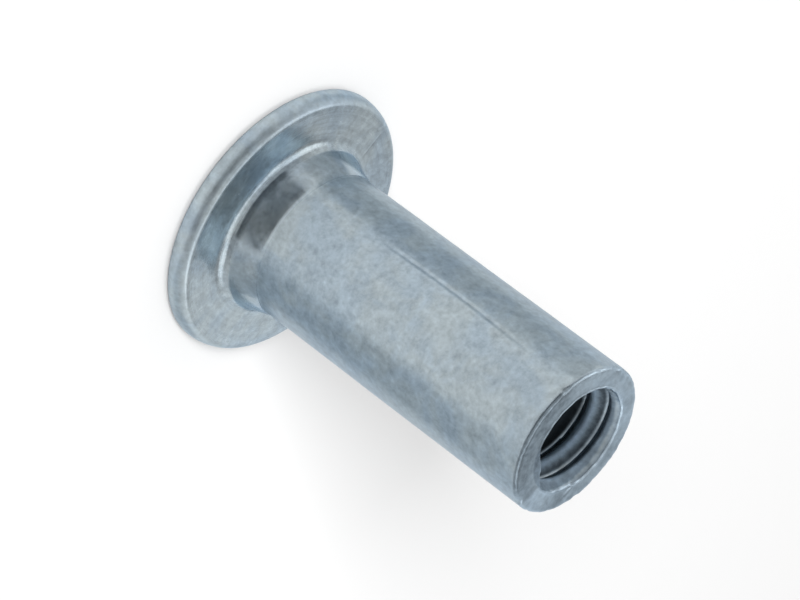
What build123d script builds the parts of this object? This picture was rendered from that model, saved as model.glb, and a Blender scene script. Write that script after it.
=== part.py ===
from build123d import *
import math
import os

# Rivet nut, cold-formed from steel, number 4-40 unified coarse thread.
# One piece: a round flange, a short tapered neck under it and a plain round barrel.
# The screw enters through the flange, passes the thin-walled counterbore that folds
# when the nut is set, and engages the thread in the far half of the barrel.
#
# Frame, in millimetres: the origin is the centre of the flange's outer face, which is
# the face the part stands on, and +Z points along the barrel to the threaded end.

# ---- flange ----
flange_diameter = 7.05       # nominal 0.270 inch, within its tolerance of 0.015 inch
flange_thickness = 0.60      # nominal 0.025 inch
outer_edge_width = 0.36      # how far the rounded outer edge reaches in across the outer face
outer_edge_height = 0.16     # height of the flange's widest line above the outer face
under_edge_width = 0.22      # how far the rounding on the underside reaches in

# ---- neck and barrel ----
barrel_diameter = 3.937      # 0.155 inch
overall_length = 10.16       # 0.400 inch, flange included
neck_diameter = 4.44         # the neck's thick end, next to the flange
neck_height = 1.54           # where the taper ends, measured from the outer face
neck_fillet = 0.16           # between the underside and the neck
end_fillet = 0.10            # rounded outer corner of the threaded end

# ---- counterbore ----
counterbore_diameter = 3.10
counterbore_depth = 5.20     # from the outer face to where the floor cone starts
floor_angle = 30.0           # slope of the counterbore's floor cone, from the flat
entry_chamfer = 0.12         # edge break where the counterbore opens on the outer face

# ---- thread ----
thread_pitch = 0.635         # 40 turns to the inch
major_diameter = 2.845       # 0.112 inch, at the roots
minor_diameter = 2.385       # 0.0939 inch, at the crests
flank_angle = 30.0           # each flank, from the plane across the axis
countersink_diameter = 2.90  # 90 degree countersink at the threaded end
runout_azimuth = -15.0       # where the middle of the groove breaks out of the end face

barrel_radius = barrel_diameter / 2
flange_radius = flange_diameter / 2
neck_radius = neck_diameter / 2
counterbore_radius = counterbore_diameter / 2
major_radius = major_diameter / 2
minor_radius = minor_diameter / 2
countersink_radius = countersink_diameter / 2

# The floor cone of the counterbore narrows to the thread's minor diameter.
floor_rise = (counterbore_radius - minor_radius) * math.tan(math.radians(floor_angle))
thread_start = counterbore_depth + floor_rise
countersink_depth = countersink_radius - minor_radius

# The thread groove: a flat root an eighth of the pitch wide, between 30 degree flanks.
# Its cutter reaches in past the crests. It is cut turn by turn: the first turn starts in
# the counterbore, which is wider than the groove, and the last ends above the end face.
root_flat = thread_pitch / 8
cutter_reach = thread_pitch / 8
cutter_depth = major_radius - minor_radius + cutter_reach
cutter_mouth = root_flat + 2 * cutter_depth * math.tan(math.radians(flank_angle))
breakout_turn = (runout_azimuth % 360) / 360
turns_to_face = math.ceil((overall_length - counterbore_depth) / thread_pitch) + breakout_turn
groove_start = overall_length - turns_to_face * thread_pitch
groove_turns = math.ceil(turns_to_face + cutter_mouth / thread_pitch)


def groove_turn():
    """One right-handed turn of the thread groove, as the solid that cuts it."""
    with BuildPart() as cutter:
        with BuildLine() as path:
            Helix(thread_pitch, thread_pitch, major_radius, center=(0, 0, groove_start))
        start = path.line @ 0
        along = path.line % 0
        with BuildSketch(Plane(origin=start, x_dir=(1, 0, 0), z_dir=along)):
            with BuildLine():
                Polyline(
                    (0, -root_flat / 2),
                    (0, root_flat / 2),
                    (-cutter_depth, cutter_mouth / 2),
                    (-cutter_depth, -cutter_mouth / 2),
                    close=True,
                )
            make_face()
        sweep(path=path.line, is_frenet=True)
    return cutter.part


def at_height(ring, height):
    """True for a circular edge that lies at this height."""
    return abs(ring.center().Z - height) < 1e-6


one_groove_turn = groove_turn()

with BuildPart() as rivet_nut:
    # Half of the lengthwise section, turned about the axis.
    with BuildSketch(Plane.XZ):
        with BuildLine():
            outer_flat = flange_radius - outer_edge_width
            under_flat = flange_radius - under_edge_width
            Line((counterbore_radius + entry_chamfer, 0), (outer_flat, 0))
            EllipticalCenterArc(
                (outer_flat, outer_edge_height),
                outer_edge_width,
                outer_edge_height,
                start_angle=270,
                arc_size=90,
            )
            EllipticalCenterArc(
                (under_flat, outer_edge_height),
                under_edge_width,
                flange_thickness - outer_edge_height,
                start_angle=0,
                arc_size=90,
            )
            Line((under_flat, flange_thickness), (neck_radius, flange_thickness))
            Line((neck_radius, flange_thickness), (barrel_radius, neck_height))
            Line((barrel_radius, neck_height), (barrel_radius, overall_length))
            Line((barrel_radius, overall_length), (countersink_radius, overall_length))
            Line(
                (countersink_radius, overall_length),
                (minor_radius, overall_length - countersink_depth),
            )
            Line((minor_radius, overall_length - countersink_depth), (minor_radius, thread_start))
            Line((minor_radius, thread_start), (counterbore_radius, counterbore_depth))
            Line((counterbore_radius, counterbore_depth), (counterbore_radius, entry_chamfer))
            Line((counterbore_radius, entry_chamfer), (counterbore_radius + entry_chamfer, 0))
        make_face()
    revolve(axis=Axis.Z)
    rings = rivet_nut.edges().filter_by(GeomType.CIRCLE)
    neck_corner = rings.filter_by(lambda ring: at_height(ring, flange_thickness)).sort_by(SortBy.RADIUS)[0]
    fillet(neck_corner, neck_fillet)
    rings = rivet_nut.edges().filter_by(GeomType.CIRCLE)
    end_corner = rings.filter_by(lambda ring: at_height(ring, overall_length)).sort_by(SortBy.RADIUS)[-1]
    fillet(end_corner, end_fillet)
    with Locations([(0, 0, turn * thread_pitch) for turn in range(groove_turns)]):
        add(one_groove_turn, mode=Mode.SUBTRACT)

rivet_nut.part.label = "rivet_nut"
os.makedirs("parts", exist_ok=True)
export_step(rivet_nut.part, "parts/rivet_nut.step")
print("solids", len(rivet_nut.part.solids()), "valid", rivet_nut.part.is_valid)
print("volume", round(rivet_nut.part.volume, 4), "box", rivet_nut.part.bounding_box())
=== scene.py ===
import math
import random

import bmesh
import bpy
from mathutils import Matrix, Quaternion, Vector, noise


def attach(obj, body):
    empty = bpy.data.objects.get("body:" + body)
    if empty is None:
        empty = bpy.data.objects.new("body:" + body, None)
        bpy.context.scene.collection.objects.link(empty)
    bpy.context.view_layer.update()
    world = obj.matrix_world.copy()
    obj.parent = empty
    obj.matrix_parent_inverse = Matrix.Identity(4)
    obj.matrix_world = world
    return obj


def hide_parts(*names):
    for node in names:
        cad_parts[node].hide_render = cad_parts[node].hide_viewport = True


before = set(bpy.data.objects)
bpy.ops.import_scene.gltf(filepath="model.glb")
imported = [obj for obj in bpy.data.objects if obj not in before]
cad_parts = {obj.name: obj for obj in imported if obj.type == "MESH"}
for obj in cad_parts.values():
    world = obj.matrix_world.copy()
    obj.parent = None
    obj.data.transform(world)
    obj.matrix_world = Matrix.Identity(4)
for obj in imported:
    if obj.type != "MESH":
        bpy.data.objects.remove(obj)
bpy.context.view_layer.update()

MM = 0.001

# ---- the part's own sizes, in millimetres ----
# They are those of its source, but for the neck: here it is a little thicker and its
# fillet is larger.
FLANGE_RADIUS = 7.05 / 2
FLANGE_THICKNESS = 0.60
OUTER_EDGE_WIDTH = 0.36
OUTER_EDGE_HEIGHT = 0.16
UNDER_EDGE_WIDTH = 0.22
BARREL_RADIUS = 3.937 / 2
LENGTH = 10.16
NECK_RADIUS = 4.52 / 2
NECK_HEIGHT = 1.54
NECK_FILLET = 0.30
NECK_BEND = 0.10  # length along the barrel of the rounded corner above the neck
END_CORNER = 0.10
BORE_RADIUS = 3.10 / 2
BORE_DEPTH = 5.20
FLOOR_ANGLE = math.radians(30)
ENTRY_CHAMFER = 0.12
CHAMFER_ROUND = 0.02  # the chamfer's corner with the outer face
PITCH = 0.635
MAJOR_RADIUS = 2.845 / 2
MINOR_RADIUS = 2.385 / 2
FLANK_ANGLE = math.radians(30)
RUNOUT_AZIMUTH = -15.0
ROOT_FLAT = PITCH / 8

# ---- the thread's rounded corners ----
GROOVE_DEEPER = 0.06  # what the rounding takes from the groove's depth is added here
ROOT_ROUND = 0.20
CREST_ROUND = 0.22
CONE_ROUND = 0.05
FLOOR_ROUND = 0.04

# ---- the open end, as the tools that formed it left it ----
HOLE_RADIUS = 1.385  # the hole's edge in the end face
HOLE_SHIFT = 0.065  # the edge runs out of true by this much, towards HOLE_SHIFT_AZIMUTH
HOLE_SHIFT_AZIMUTH = 120.0
HOLE_STEP = 0.03  # a short upright wall under the edge, before the countersink's cone
CONE_SLOPE = 0.6  # how fast the cone narrows with depth
EDGE_DROP = 0.025  # the bore's wall ends this far under the end face
# the low burr all round the hole, as steps out from its edge and up from the end face
BURR = (
    (0.0, -EDGE_DROP),
    (0.003, -0.014),
    (0.015, -0.006),
    (0.03, 0.0045),
    (0.045, 0.0165),
    (0.05, 0.018),
    (0.055, 0.0165),
    (0.068, 0.008),
    (0.082, 0.0005),
)
LIP_AZIMUTH = -33.0  # the thread's first turn is pushed in over the hole here
LIP_WIDTH = 38.0
LIP_REACH = 0.20
RAMP_START = 56.0  # where the thread's last groove cuts out across the face
RAMP_END = -4.0
RAMP_SLANT = 47.0  # degrees that the ramp's wall swings round per millimetre outwards
RAMP_DEPTH = 0.05
RAMP_RIDGE = 0.02
FACE_UNEVENNESS = 0.012
SCRATCH_AZIMUTH = -121.0
SCRATCH_DEPTH = 0.010
SCRATCH_RIDGE = 0.006

# ---- the mesh ----
COLUMNS = 352
FINE_DEPTH = 1.1  # the thread's rows are closer together down to this depth
BORE_TOP = BORE_DEPTH - 0.1  # where the plain bore meets the threaded strip
SNAP = 0.004  # rows nearer than this to a strip's end are drawn onto it


def arc(centre, radii, start, stop, steps):
    """Points on an ellipse arc, angles in degrees from +r towards +z."""
    points = []
    for i in range(steps + 1):
        a = math.radians(start + (stop - start) * i / steps)
        points.append((centre[0] + radii[0] * math.cos(a), centre[1] + radii[1] * math.sin(a)))
    return points


def line(start, stop, steps):
    """Points between two ends, without the ends themselves."""
    return [
        (
            start[0] + (stop[0] - start[0]) * i / steps,
            start[1] + (stop[1] - start[1]) * i / steps,
        )
        for i in range(1, steps)
    ]


def smooth(low, high, x):
    """0 below low, 1 above high, and a smooth rise between them."""
    t = min(1.0, max(0.0, (x - low) / (high - low)))
    return t * t * (3 - 2 * t)


def bell(x, width):
    """1 at x = 0, falling smoothly to 0 at width on either side."""
    return 1 - smooth(0, width, abs(x))


def turn_from(azimuth, middle):
    """Degrees from middle to azimuth, between -180 and 180."""
    return (azimuth - middle + 180) % 360 - 180


def soft_max(a, b, width):
    """The larger of two lengths, with the corner between them rounded off."""
    h = max(width - abs(a - b), 0.0) / width
    return max(a, b) + h * h * width / 4


def ripple(x, y, scale, layer):
    """Smooth noise over the plan, between about -1 and 1. Each layer differs."""
    return noise.noise(Vector((x * scale, y * scale, layer)))


def outer_outline():
    """The outside's outline, from the hole's edge at the open end round to the counterbore."""
    # the end face and its outer corner
    face_out = BARREL_RADIUS - END_CORNER
    points = [(HOLE_RADIUS + out, LENGTH + up) for out, up in BURR]
    points += line((HOLE_RADIUS + BURR[-1][0], LENGTH), (face_out, LENGTH), 10)
    points += arc((face_out, LENGTH - END_CORNER), (END_CORNER, END_CORNER), 90, 0, 7)
    # the barrel, with closer rows just under the corner, where the knocks are
    close = LENGTH - END_CORNER - 0.12
    points += line((BARREL_RADIUS, LENGTH - END_CORNER), (BARREL_RADIUS, close), 5)
    barrel_end = NECK_HEIGHT + NECK_BEND
    points += line((BARREL_RADIUS, close + 0.02), (BARREL_RADIUS, barrel_end), 36)
    # the barrel turns into the neck over a rounded corner
    taper = math.atan2(NECK_RADIUS - BARREL_RADIUS, NECK_HEIGHT - FLANGE_THICKNESS)
    degrees = math.degrees(taper)
    bend = NECK_BEND / math.tan(taper / 2)
    corner = arc((BARREL_RADIUS + bend, barrel_end), (bend, bend), 180, 180 + degrees, 4)
    points += corner
    # the neck, from its thin end down to its fillet
    reach = NECK_FILLET * math.tan((math.pi / 2 - taper) / 2)
    thick = (NECK_RADIUS - reach * math.sin(taper), FLANGE_THICKNESS + reach * math.cos(taper))
    points += line(corner[-1], thick, 7)
    fillet_centre = (NECK_RADIUS + reach, FLANGE_THICKNESS + NECK_FILLET)
    points += arc(fillet_centre, (NECK_FILLET, NECK_FILLET), 180 + degrees, 270, 7)
    # the flange's underside, its rounded edge and its outer face
    under_out = FLANGE_RADIUS - UNDER_EDGE_WIDTH
    points += line((NECK_RADIUS + reach, FLANGE_THICKNESS), (under_out, FLANGE_THICKNESS), 11)
    under_radii = (UNDER_EDGE_WIDTH, FLANGE_THICKNESS - OUTER_EDGE_HEIGHT)
    points += arc((under_out, OUTER_EDGE_HEIGHT), under_radii, 90, 0, 10)
    outer_out = FLANGE_RADIUS - OUTER_EDGE_WIDTH
    outer_radii = (OUTER_EDGE_WIDTH, OUTER_EDGE_HEIGHT)
    points += arc((outer_out, OUTER_EDGE_HEIGHT), outer_radii, 0, -90, 10)[1:]
    chamfer_out = BORE_RADIUS + ENTRY_CHAMFER
    points += line((outer_out, 0.0), (chamfer_out, 0.0), 7)
    # the chamfer and the counterbore
    round_centre = (chamfer_out + CHAMFER_ROUND, CHAMFER_ROUND)
    points += arc(round_centre, (CHAMFER_ROUND, CHAMFER_ROUND), 270, 225, 2)
    points += line((chamfer_out, 0.3 * CHAMFER_ROUND), (BORE_RADIUS, ENTRY_CHAMFER), 4)
    bore_start = ENTRY_CHAMFER + 0.03
    points += [(BORE_RADIUS, ENTRY_CHAMFER), (BORE_RADIUS, bore_start)]
    points += line((BORE_RADIUS, bore_start), (BORE_RADIUS, BORE_TOP), 9)
    points += [(BORE_RADIUS, BORE_TOP)]
    return points


# ---- the threaded bore, as a radius for each azimuth and height ----
TURNS_TO_FACE = math.ceil((LENGTH - BORE_DEPTH) / PITCH) + (RUNOUT_AZIMUTH % 360) / 360
GROOVE_START = LENGTH - TURNS_TO_FACE * PITCH


def ramp_share(azimuth, r):
    """How deep the groove that runs out across the face is here, from 0 to 1."""
    wall = RAMP_START - RAMP_SLANT * max(0.0, r - HOLE_RADIUS)
    along = turn_from(azimuth, RAMP_END) / (wall - RAMP_END)
    if 0 < along < 1.2:
        return smooth(0.0, 0.8, along) * (1 - smooth(0.93, 1.06, along))
    return 0.0


def bore_radius(turn, z):
    """Radius of the bore's wall. turn is the azimuth in whole turns."""
    offset = (z - GROOVE_START) / PITCH - turn
    off_middle = abs((offset + 0.5) % 1.0 - 0.5) * PITCH
    rise = soft_max(off_middle - ROOT_FLAT / 2, 0.0, ROOT_ROUND) / math.tan(FLANK_ANGLE)
    radius = soft_max(MINOR_RADIUS, MAJOR_RADIUS + GROOVE_DEEPER - rise, CREST_ROUND)
    step = HOLE_STEP * (1 - ramp_share(turn * 360, HOLE_RADIUS))
    cone = HOLE_RADIUS - CONE_SLOPE * max(0.0, LENGTH - z - step)
    radius = soft_max(radius, cone, CONE_ROUND)
    bore_floor = BORE_RADIUS - (z - BORE_DEPTH) / math.tan(FLOOR_ANGLE)
    return soft_max(radius, bore_floor, FLOOR_ROUND)


def rows(marks):
    """Row heights within one pitch, either side of the groove's middle, in millimetres."""
    return sorted({-m for m in marks} | set(marks) | {0.0, PITCH / 2})


FINE_ROWS = rows([0.022, 0.04, 0.058, 0.08, 0.105, 0.13, 0.155, 0.175, 0.2, 0.23, 0.27])
COARSE_ROWS = rows([0.035, 0.065, 0.1, 0.14, 0.17, 0.21, 0.26])


def point_on(bm, turn, r, z):
    """A vertex at this azimuth, given in whole turns, radius and height."""
    angle = 2 * math.pi * turn
    return bm.verts.new((r * math.cos(angle), r * math.sin(angle), z))


def ring(bm, radius_of, z):
    """A closed ring of vertices at one height."""
    turns = [j / COLUMNS for j in range(COLUMNS)]
    return [point_on(bm, turn, radius_of(turn, z), z) for turn in turns]


def threaded_strip(bm, low, high, marks, low_ring, high_ring):
    """A strip of the threaded bore between two heights, its rows sheared along the helix."""
    first = math.floor((low - GROOVE_START) / PITCH) - 2
    last = math.ceil((high - GROOVE_START) / PITCH) + 1
    levels = [GROOVE_START + n * PITCH + m for n in range(first, last + 1) for m in marks]
    columns = []
    for j in range(COLUMNS + 1):
        turn = j / COLUMNS
        column = []
        for level in levels:
            z = level + PITCH * turn
            if z <= low + SNAP:
                column.append(low_ring[j % COLUMNS])
            elif z >= high - SNAP:
                column.append(high_ring[j % COLUMNS])
            elif j == COLUMNS:
                # one whole turn round, this row meets the row one pitch above it
                column.append(columns[0][len(column) + len(marks)])
            else:
                column.append(point_on(bm, turn, bore_radius(turn, z), z))
        columns.append(column)
    for here, beyond in zip(columns, columns[1:]):
        for i in range(len(levels) - 1):
            distinct = []
            for v in (here[i], beyond[i], beyond[i + 1], here[i + 1]):
                if v not in distinct:
                    distinct.append(v)
            if len(distinct) > 2:
                bm.faces.new(distinct)


# ---- what forming, plating and handling did to the true shape ----
rng = random.Random(11)
# knocks on the outer corner: each one's azimuth, depth and width in degrees
NICKS = [
    (rng.uniform(-180, 180), rng.uniform(0.012, 0.03), rng.uniform(2.5, 6.0)) for _ in range(14)
]


def worn(x, y, z):
    """Where a point of the true shape lies on the real part. Millimetres."""
    r = math.hypot(x, y)
    azimuth = math.degrees(math.atan2(y, x))
    near_end = smooth(LENGTH - 0.45, LENGTH - 0.02, z)
    if near_end > 0:
        # the hole's edge: out of true, and pushed in where the thread starts
        at_edge = bell(r - HOLE_RADIUS, 0.3) if r > HOLE_RADIUS else 1.0
        out = HOLE_SHIFT * math.cos(math.radians(azimuth - HOLE_SHIFT_AZIMUTH))
        lip = LIP_REACH * bell(turn_from(azimuth, LIP_AZIMUTH), LIP_WIDTH)
        ragged = 0.022 * ripple(x, y, 2.2, 3.0)
        ragged += 0.022 * ripple(x, y, 6.0, 5.0)
        r += (out - lip + ragged) * at_edge * near_end
        # the groove that runs out across the face: a step down, then a ramp back up
        outward = smooth(BARREL_RADIUS - 0.06, HOLE_RADIUS, r)
        at_face = smooth(LENGTH - 0.30, LENGTH - 0.02, z)
        z -= RAMP_DEPTH * ramp_share(azimuth, r) * outward * at_face
        ridge = bell(turn_from(azimuth, RAMP_END - 4), 8) * bell(r - HOLE_RADIUS - 0.1, 0.5)
        z += RAMP_RIDGE * ridge * at_face
        # the face isn't quite flat
        z += FACE_UNEVENNESS * ripple(x, y, 1.6, 7.0) * near_end
    # small knocks on the outer corner of the open end
    corner = bell(math.hypot(r - BARREL_RADIUS + 0.03, z - LENGTH + 0.03), 0.16)
    if corner > 0:
        knock = 0.009 * ripple(x, y, 3.5, 1.0)
        knock += 0.008 * ripple(x, y, 9.0, 2.0)
        for middle, depth, width in NICKS:
            knock += depth * bell(turn_from(azimuth, middle), width)
        r -= knock * corner * 0.7
        z -= knock * corner * 0.7
    scale = r / math.hypot(x, y)
    x, y = x * scale, y * scale
    # a slight unevenness of all that is outside, between the two ends
    if r > BORE_RADIUS + 0.1 and 0.3 < z < LENGTH - 0.3:
        p = Vector((x, y, z))
        bump = 0.004 * noise.noise(p * 0.8) + 0.0018 * noise.noise(p * 3.1)
        # a long shallow scratch down the barrel
        across = math.radians(turn_from(azimuth, SCRATCH_AZIMUTH)) * BARREL_RADIUS
        across += 0.045 * math.sin((z - 4.0) * 0.8)
        if abs(across) < 0.2:
            along = smooth(3.8, 4.6, z) * (1 - smooth(7.2, 9.4, z))
            cut = SCRATCH_DEPTH * bell(across, 0.07) - SCRATCH_RIDGE * bell(across - 0.1, 0.08)
            bump -= along * cut
        x += x / r * bump
        y += y / r * bump
    return Vector((x, y, z))


def build_nut():
    """The whole part, as one closed mesh."""
    bm = bmesh.new()
    rings = [ring(bm, lambda turn, z, r=r: r, z) for r, z in outer_outline()]
    for a, b in zip(rings, rings[1:]):
        for j in range(COLUMNS):
            k = (j + 1) % COLUMNS
            bm.faces.new((a[j], b[j], b[k], a[k]))
    middle = ring(bm, bore_radius, LENGTH - FINE_DEPTH)
    threaded_strip(bm, BORE_TOP, LENGTH - FINE_DEPTH, COARSE_ROWS, rings[-1], middle)
    threaded_strip(bm, LENGTH - FINE_DEPTH, LENGTH - EDGE_DROP, FINE_ROWS, middle, rings[0])
    bmesh.ops.recalc_face_normals(bm, faces=bm.faces)
    for v in bm.verts:
        v.co = worn(*v.co) * MM
    mesh = bpy.data.meshes.new("nut_body")
    bm.to_mesh(mesh)
    bm.free()
    mesh.shade_smooth()
    nut = bpy.data.objects.new("nut_body", mesh)
    bpy.context.collection.objects.link(nut)
    return nut


nut = build_nut()
print("triangles", sum(len(p.vertices) - 2 for p in nut.data.polygons))


# ---- materials ----
class Nodes:
    """Short names for building a node tree."""

    def __init__(self, tree):
        self.tree = tree

    def add(self, kind, **settings):
        node = self.tree.nodes.new(kind)
        for name, value in settings.items():
            setattr(node, name, value)
        return node

    def put(self, value, socket):
        """Link a socket to this one, or set this one's value."""
        if isinstance(value, bpy.types.NodeSocket):
            self.tree.links.new(value, socket)
        else:
            socket.default_value = value

    def math(self, operation, *values):
        node = self.add("ShaderNodeMath", operation=operation)
        for value, socket in zip(values, node.inputs):
            self.put(value, socket)
        return node.outputs[0]

    def both(self, a, b):
        """Two masks at once, or a mask and its strength."""
        return self.math("MULTIPLY", a, b)

    def plus(self, total, *changes):
        """The total with each mask added to it, as (mask, strength)."""
        for mask, strength in changes:
            total = self.math("ADD", total, self.both(mask, strength))
        return total

    def along(self, x, y, way):
        """How far a point in plan lies out along a direction."""
        return self.math("ADD", self.both(x, way[0]), self.both(y, way[1]))

    def ramp(self, value, low, high, to_low=0.0, to_high=1.0):
        """A smooth change from one value at low to another at high."""
        node = self.add("ShaderNodeMapRange", interpolation_type="SMOOTHSTEP", clamp=True)
        for given, socket in zip((value, low, high, to_low, to_high), node.inputs):
            self.put(given, socket)
        return node.outputs[0]

    def noise(self, vector, scale, detail, rough, distortion=0.0):
        node = self.add("ShaderNodeTexNoise")
        self.put(vector, node.inputs["Vector"])
        node.inputs["Scale"].default_value = scale
        node.inputs["Detail"].default_value = detail
        node.inputs["Roughness"].default_value = rough
        node.inputs["Distortion"].default_value = distortion
        return node.outputs["Fac"]

    def scaled(self, vector, scale):
        node = self.add("ShaderNodeVectorMath", operation="SCALE")
        self.put(vector, node.inputs[0])
        self.put(scale, node.inputs["Scale"])
        return node.outputs[0]

    def mix(self, factor, a, b):
        """Colour a where factor is 0, colour b where it is 1."""
        node = self.add("ShaderNodeMix", data_type="RGBA")
        self.put(factor, node.inputs["Factor"])
        self.put(a, node.inputs[6])
        self.put(b, node.inputs[7])
        return node.outputs[2]

    def combine(self, x, y, z):
        node = self.add("ShaderNodeCombineXYZ")
        for value, socket in zip((x, y, z), node.inputs):
            self.put(value, socket)
        return node.outputs[0]

    def split(self, vector):
        node = self.add("ShaderNodeSeparateXYZ")
        self.put(vector, node.inputs[0])
        return node.outputs


def new_material(name):
    """A new material, its nodes, and the shader that it starts with."""
    mat = bpy.data.materials.new(name)
    mat.use_nodes = True
    return mat, Nodes(mat.node_tree), mat.node_tree.nodes["Principled BSDF"]


# where handling left dirt on the end face: most on the near side, some on the far side
DIRT_NEAR_WAY = (math.cos(math.radians(-68)), math.sin(math.radians(-68)))
DIRT_FAR_WAY = (0.34, 0.94)

# a short scratch out across the flange's underside, on the line y = SIDE - SLANT * x
UNDER_SCRATCH_SIDE = 0.493
UNDER_SCRATCH_SLANT = 0.057

# the plate's colours
PLATE = (0.362, 0.437, 0.496, 1)
PLATE_WARMER = (0.388, 0.447, 0.475, 1)
PLATE_BLUER = (0.340, 0.430, 0.515, 1)
LOW_ANGLE = (0.74, 0.80, 0.86, 1)
# the low-angle tint in the thread's groove, darkened as painted shade
LOW_ANGLE_GROOVE_SHADE = (0.08, 0.09, 0.10, 1)


def zinc_material():
    """Zinc plate: a satin metal, cloudy, with dirt on its end face, painted shade in its hole,
    its thread's groove and the rim's foot, and painted sheen and highlights on the rim, the
    neck's far side and the thread's crests. Sizes in millimetres.
    """
    mat, n, shader = new_material("zinc_plate")
    shader.inputs["Metallic"].default_value = 1.0

    p = n.scaled(n.add("ShaderNodeTexCoord").outputs["Object"], 1000.0)
    x, y, z = n.split(p)
    r = n.math("SQRT", n.math("ADD", n.both(x, x), n.both(y, y)))

    # the hole: all of it, its depths, which are darkened below as painted shade, most on the
    # far side, and its thread
    inside = n.ramp(r, HOLE_RADIUS + 0.03, HOLE_RADIUS - 0.03)
    deep = n.both(inside, n.ramp(z, LENGTH - 0.92, LENGTH - 1.25))
    deep = n.both(deep, n.ramp(y, -0.5, 0.3, 0.3, 1.0))
    threaded = n.both(inside, n.ramp(z, LENGTH - 0.15, LENGTH - 0.32))
    # how far from the middle of the thread's groove, in pitches
    turns = n.both(n.math("SUBTRACT", z, GROOVE_START), 1 / PITCH)
    about = n.both(n.math("ARCTAN2", y, x), 0.5 / math.pi)
    off_groove = n.math("PINGPONG", n.math("SUBTRACT", turns, about), 0.5)
    # below, the groove is darkened as painted shade and the crest lightened as painted
    # highlight
    groove = n.both(threaded, n.ramp(off_groove, 0.34, 0.14))
    crest_painted_highlight = n.both(threaded, n.ramp(off_groove, 0.24, 0.42))

    # the flange's underside, its rim, lightened below as painted sheen, and the rim's foot,
    # close to what it stands on, darkened below as painted shade
    under = n.both(n.ramp(r, NECK_RADIUS - 0.02, NECK_RADIUS + 0.1), n.ramp(z, 0.8, 0.6))
    rim_side = n.ramp(r, FLANGE_RADIUS - 0.2, FLANGE_RADIUS - 0.1)
    rim = n.both(rim_side, n.ramp(z, 0.1, 0.25))
    foot_side = n.ramp(r, FLANGE_RADIUS - 0.36, FLANGE_RADIUS - 0.2)
    foot = n.both(n.ramp(z, 0.13, 0.04), foot_side)
    edge = n.ramp(r, FLANGE_RADIUS - 0.26, FLANGE_RADIUS - 0.18)

    # the neck, and the far side of it, which is lightened below as painted sheen
    neck = n.both(
        n.ramp(z, FLANGE_THICKNESS + 0.06, FLANGE_THICKNESS + 0.16),
        n.ramp(z, NECK_HEIGHT + 0.02, NECK_HEIGHT - 0.02),
    )
    neck_back_painted_sheen = n.both(neck, n.ramp(y, -0.9, 0.0))

    # the end face and its dirt
    face = n.ramp(z, LENGTH - 0.12, LENGTH - 0.04)
    near_dirt = n.ramp(n.along(x, y, DIRT_NEAR_WAY), 0.6, 1.6)
    far_dirt = n.ramp(n.along(x, y, DIRT_FAR_WAY), 0.8, 1.7, 0.0, 0.5)
    dirt = n.both(face, n.math("ADD", near_dirt, far_dirt))

    # a short scratch out across the underside, drawn only in colour: a painted highlight along
    # it and painted shade beside it
    aside = n.math("SUBTRACT", y, UNDER_SCRATCH_SIDE)
    aside = n.math("ADD", aside, n.both(x, UNDER_SCRATCH_SLANT))
    length = n.both(n.ramp(x, -2.30, -2.50), n.ramp(x, -3.16, -3.0))
    scratch_painted_highlight = n.ramp(n.math("ABSOLUTE", aside), 0.04, 0.0)
    scratch_painted_shade = n.ramp(n.math("ABSOLUTE", n.math("SUBTRACT", aside, 0.05)), 0.035, 0.0)
    scratch_painted_light = n.math("SUBTRACT", n.both(scratch_painted_highlight, 1.2), scratch_painted_shade)
    scratch = n.both(n.both(length, under), scratch_painted_light)

    # cloudy plating: three sizes of mottling
    grain = n.noise(p, 7.5, 4.0, 0.62)
    mottle = n.noise(p, 3.4, 3.0, 0.6, 0.4)
    cloud = n.noise(p, 0.9, 3.0, 0.55, 0.6)
    # turning marks, as rings about the axis: much closer across than along
    turned = n.math("MAXIMUM", under, n.both(face, 0.6))
    rings = n.combine(
        n.both(r, 9.0),
        n.both(n.math("DIVIDE", x, r), 1.3),
        n.both(n.math("DIVIDE", y, r), 1.3),
    )
    lathe = n.noise(rings, 1.0, 4.0, 0.65)

    tint = n.mix(n.ramp(cloud, 0.35, 0.65), PLATE, PLATE_WARMER)
    bluer = n.math("MAXIMUM", n.both(inside, 0.8), n.both(face, 0.6))
    tint = n.mix(bluer, tint, PLATE_BLUER)
    shade = n.plus(
        1.0,
        (n.math("SUBTRACT", grain, 0.5), 0.66),
        (n.math("SUBTRACT", mottle, 0.5), 0.68),
        (n.math("SUBTRACT", cloud, 0.5), 0.16),
        (n.math("SUBTRACT", lathe, 0.5), n.both(turned, 0.5)),
        # painted sheen on the rim
        (rim, 0.19),
        # painted sheen on the neck's far side
        (neck_back_painted_sheen, 0.7),
        (neck, -0.07),
        # painted shade in the whole hole
        (inside, -0.14),
        # painted shade in the thread's groove
        (groove, -0.42),
        # painted highlight on the thread's crests
        (crest_painted_highlight, 0.45),
    )
    # painted shade in the hole's depths, strongest on the far side
    shade = n.both(shade, n.plus(1.0, (deep, -0.85)))
    # painted shade on the rim's foot, where it meets the floor
    shade = n.plus(shade, (face, 0.05), (scratch, 0.2), (foot, -0.55), (dirt, -0.42))
    n.put(n.scaled(tint, shade), shader.inputs["Base Color"])

    # seen at a low angle the plate is pale, but dark in the thread's groove: painted shade
    n.put(n.mix(groove, LOW_ANGLE, LOW_ANGLE_GROOVE_SHADE), shader.inputs["Specular Tint"])

    rough = n.plus(
        0.25, (mottle, 0.12), (under, -0.06), (edge, 0.14), (inside, 0.50), (neck, -0.12)
    )
    n.put(rough, shader.inputs["Roughness"])

    height = n.plus(n.both(grain, 0.0030), (mottle, 0.004))
    height = n.both(height, n.plus(1.0, (neck, -0.8)))
    height = n.plus(height, (lathe, n.both(turned, 0.006)))
    bump = n.add("ShaderNodeBump")
    bump.inputs["Strength"].default_value = 1.0
    bump.inputs["Distance"].default_value = MM
    n.put(height, bump.inputs["Height"])
    n.put(bump.outputs[0], shader.inputs["Normal"])
    return mat


nut.data.materials.append(zinc_material())
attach(nut, "root")
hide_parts("rivet_nut")


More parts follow.
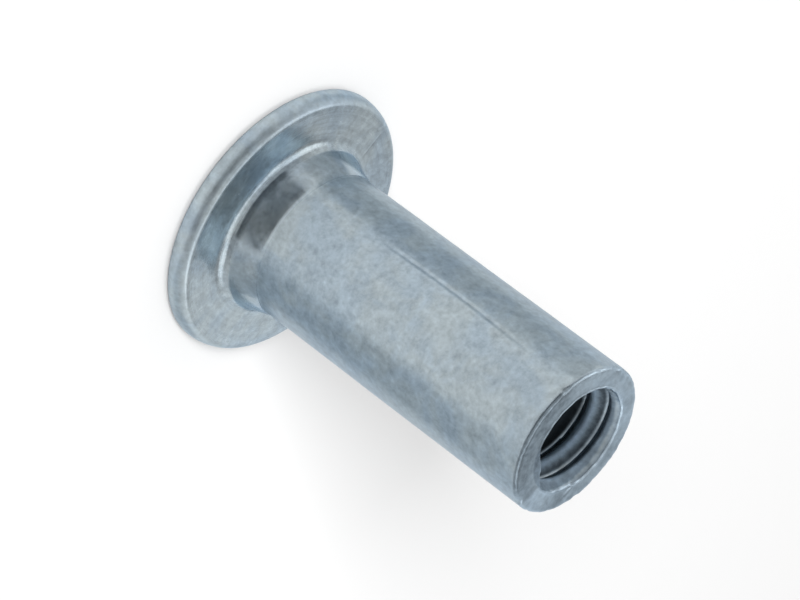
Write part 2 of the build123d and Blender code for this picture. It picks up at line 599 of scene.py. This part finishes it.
# ---- floor and studio cards ----
def floor_material():
    """White, and a little brighter to the camera and in reflections than its light makes it."""
    mat, n, _ = new_material("floor_white")
    mat.node_tree.nodes.clear()
    diffuse = n.add("ShaderNodeBsdfDiffuse")
    diffuse.inputs["Color"].default_value = (0.8, 0.8, 0.8, 1)
    paths = n.add("ShaderNodeLightPath")
    seen = n.math("ADD", paths.outputs["Is Camera Ray"], paths.outputs["Is Glossy Ray"])
    seen = n.math("ADD", seen, paths.outputs["Is Transmission Ray"])
    glow = n.add("ShaderNodeEmission")
    n.put(n.both(seen, 0.07), glow.inputs["Strength"])
    added = n.add("ShaderNodeAddShader")
    n.put(diffuse.outputs[0], added.inputs[0])
    n.put(glow.outputs[0], added.inputs[1])
    n.put(added.outputs[0], n.add("ShaderNodeOutputMaterial").inputs["Surface"])
    return mat


def card_material(name, shade):
    """Matt grey card."""
    mat, _, shader = new_material(name)
    shader.inputs["Base Color"].default_value = (shade * 0.90, shade * 0.98, shade * 1.05, 1)
    shader.inputs["Roughness"].default_value = 0.9
    return mat


def glow_material(name, radiance):
    """A card that glows evenly."""
    mat, n, _ = new_material(name)
    mat.node_tree.nodes.clear()
    glow = n.add("ShaderNodeEmission")
    glow.inputs["Strength"].default_value = radiance
    n.put(glow.outputs[0], n.add("ShaderNodeOutputMaterial").inputs["Surface"])
    return mat


def stage_sheet(name, corners, material):
    """A flat sheet of studio card or floor, corners in millimetres."""
    mesh = bpy.data.meshes.new(name)
    mesh.from_pydata([Vector(c) * MM for c in corners], [], [tuple(range(len(corners)))])
    mesh.materials.append(material)
    obj = bpy.data.objects.new(name, mesh)
    bpy.context.collection.objects.link(obj)
    return obj


def card(name, corners, material):
    """A studio card that only the metal's reflections show."""
    obj = stage_sheet(name, corners, material)
    obj.visible_camera = False
    obj.visible_diffuse = False
    obj.visible_shadow = False
    obj.visible_transmission = False


def flat(plan, z):
    """Corners of a level sheet, from its corners in plan."""
    return [(x, y, z) for x, y in plan]


def upright(x_low, x_high, y, z_low, z_high):
    """Corners of a sheet that stands facing the front."""
    return [(x_low, y, z_low), (x_high, y, z_low), (x_high, y, z_high), (x_low, y, z_high)]


def side_card(name, near_front, near_back, shade):
    """A grey card on the floor beside the part: it darkens the barrel between two azimuths."""
    corners = []
    for azimuth, order in ((near_front, 1), (near_back, -1)):
        a = math.radians(azimuth)
        out = math.radians(2 * azimuth + 90)
        start = Vector((math.cos(a), math.sin(a), 0)) * BARREL_RADIUS
        way = Vector((math.cos(out), math.sin(out), 0))
        ends = [start + way * 2.8, start + way * 23]
        corners += ends[::order]
    card(name, [(c.x, c.y, 0.05) for c in corners], card_material(name, shade))


HALF_FLOOR = 300.0
CARD_HEIGHT = 50.0
FLOOR_CORNERS = ((-1, -1), (1, -1), (1, 1), (-1, 1))
stage_sheet(
    "floor",
    flat([(x * HALF_FLOOR, y * HALF_FLOOR) for x, y in FLOOR_CORNERS], 0),
    floor_material(),
)
side_card("card_left", -124.0, -152.0, 0.50)
side_card("card_right", -60.0, -28.0, 0.51)
card("card_front", upright(-33, 33, -30, 0, 18), card_material("card_front", 0.17))
card("card_back", upright(-2, 22, 20, 1, 17), glow_material("card_back", 1.1))
for name, way in (("card_high_left", 1), ("card_high_right", -1)):
    plan = [(28 * way, -12), (62 * way, -12), (62 * way, 40), (28 * way, 40)]
    card(name, flat(plan, CARD_HEIGHT), glow_material(name, 1.9))
plan = [(-28, -60), (28, -60), (28, -8), (-28, -8)]
card("card_high_front", flat(plan, CARD_HEIGHT), glow_material("card_high_front", 0.75))
# a glowing patch of floor behind the part, seen only in reflections: painted light over the
# part's own shadow there
plan = [(-18, 12), (-2.7, 2.7), (2.7, 2.7), (18, 12), (12, 30), (-12, 30)]
card("card_behind", flat(plan, 0.04), glow_material("card_behind", 1.0))
# a dark disc under the hole, seen only in reflections: painted shade for the floor's shadow
# under the bore
plan = [(1.5 * math.cos(a * math.pi / 8), 1.5 * math.sin(a * math.pi / 8)) for a in range(16)]
card("card_bore", flat(plan, 0.03), card_material("card_bore", 0.02))


# ---- light ----
def studio_world():
    """A pale room, brighter low down and dimmer in front of the part."""
    world = bpy.data.worlds.new("studio")
    world.use_nodes = True
    n = Nodes(world.node_tree)
    background = world.node_tree.nodes["Background"]
    background.inputs["Color"].default_value = (1, 1, 1, 1)
    _, behind, up = n.split(n.add("ShaderNodeTexCoord").outputs["Generated"])
    low = n.ramp(up, 0.75, 0.30)
    sides = n.both(low, n.ramp(behind, -0.5, 0.4, 0.10, 0.46))
    n.put(n.math("ADD", sides, 0.50), background.inputs["Strength"])
    return world


def softbox(name, azimuth, elevation, distance, size, radiance):
    """An area lamp that faces the part. radiance is the brightness a mirror would show."""
    a, e = math.radians(azimuth), math.radians(elevation)
    back = Vector((math.sin(a) * math.cos(e), -math.cos(a) * math.cos(e), math.sin(e)))
    lamp = bpy.data.lights.new(name, "AREA")
    lamp.shape = "RECTANGLE"
    lamp.size, lamp.size_y = size
    lamp.energy = radiance * math.pi * size[0] * size[1]
    obj = bpy.data.objects.new(name, lamp)
    obj.rotation_mode = "QUATERNION"
    obj.location = Vector((0, 0, LENGTH * MM / 2)) + back * distance
    obj.rotation_quaternion = back.to_track_quat("Z", "Y")
    bpy.context.collection.objects.link(obj)
    return obj


bpy.context.scene.world = studio_world()
# the key lights the floor and casts the shadow, and the metal doesn't reflect it
key = softbox("key", -8, 32, 0.30, (0.105, 0.105), 25.0)
key.visible_glossy = False
softbox("overhead", 0, 90, 0.12, (0.12, 0.07), 1.15)

# ---- camera, matched to the photo's view: distance and aim in millimetres ----
CAMERA_ELEVATION = 30.25
CAMERA_ROLL = 126.83
CAMERA_DISTANCE = 106.64
CAMERA_AIM = (-0.163, 0.0, 4.201)
CAMERA_LENS = 204.6

camera = bpy.data.cameras.new("camera")
camera.lens = CAMERA_LENS
camera.sensor_width = 36
camera.clip_start = 0.005
camera.clip_end = 10
cam = bpy.data.objects.new("camera", camera)
bpy.context.collection.objects.link(cam)
elevation = math.radians(CAMERA_ELEVATION)
back = Vector((0, -math.cos(elevation), math.sin(elevation)))
cam.rotation_mode = "QUATERNION"
cam.location = (Vector(CAMERA_AIM) + back * CAMERA_DISTANCE) * MM
turn_about_view = Quaternion((0, 0, 1), math.radians(CAMERA_ROLL))
cam.rotation_quaternion = back.to_track_quat("Z", "Y") @ turn_about_view
bpy.context.scene.camera = cam

bpy.context.scene.view_settings.view_transform = "Standard"
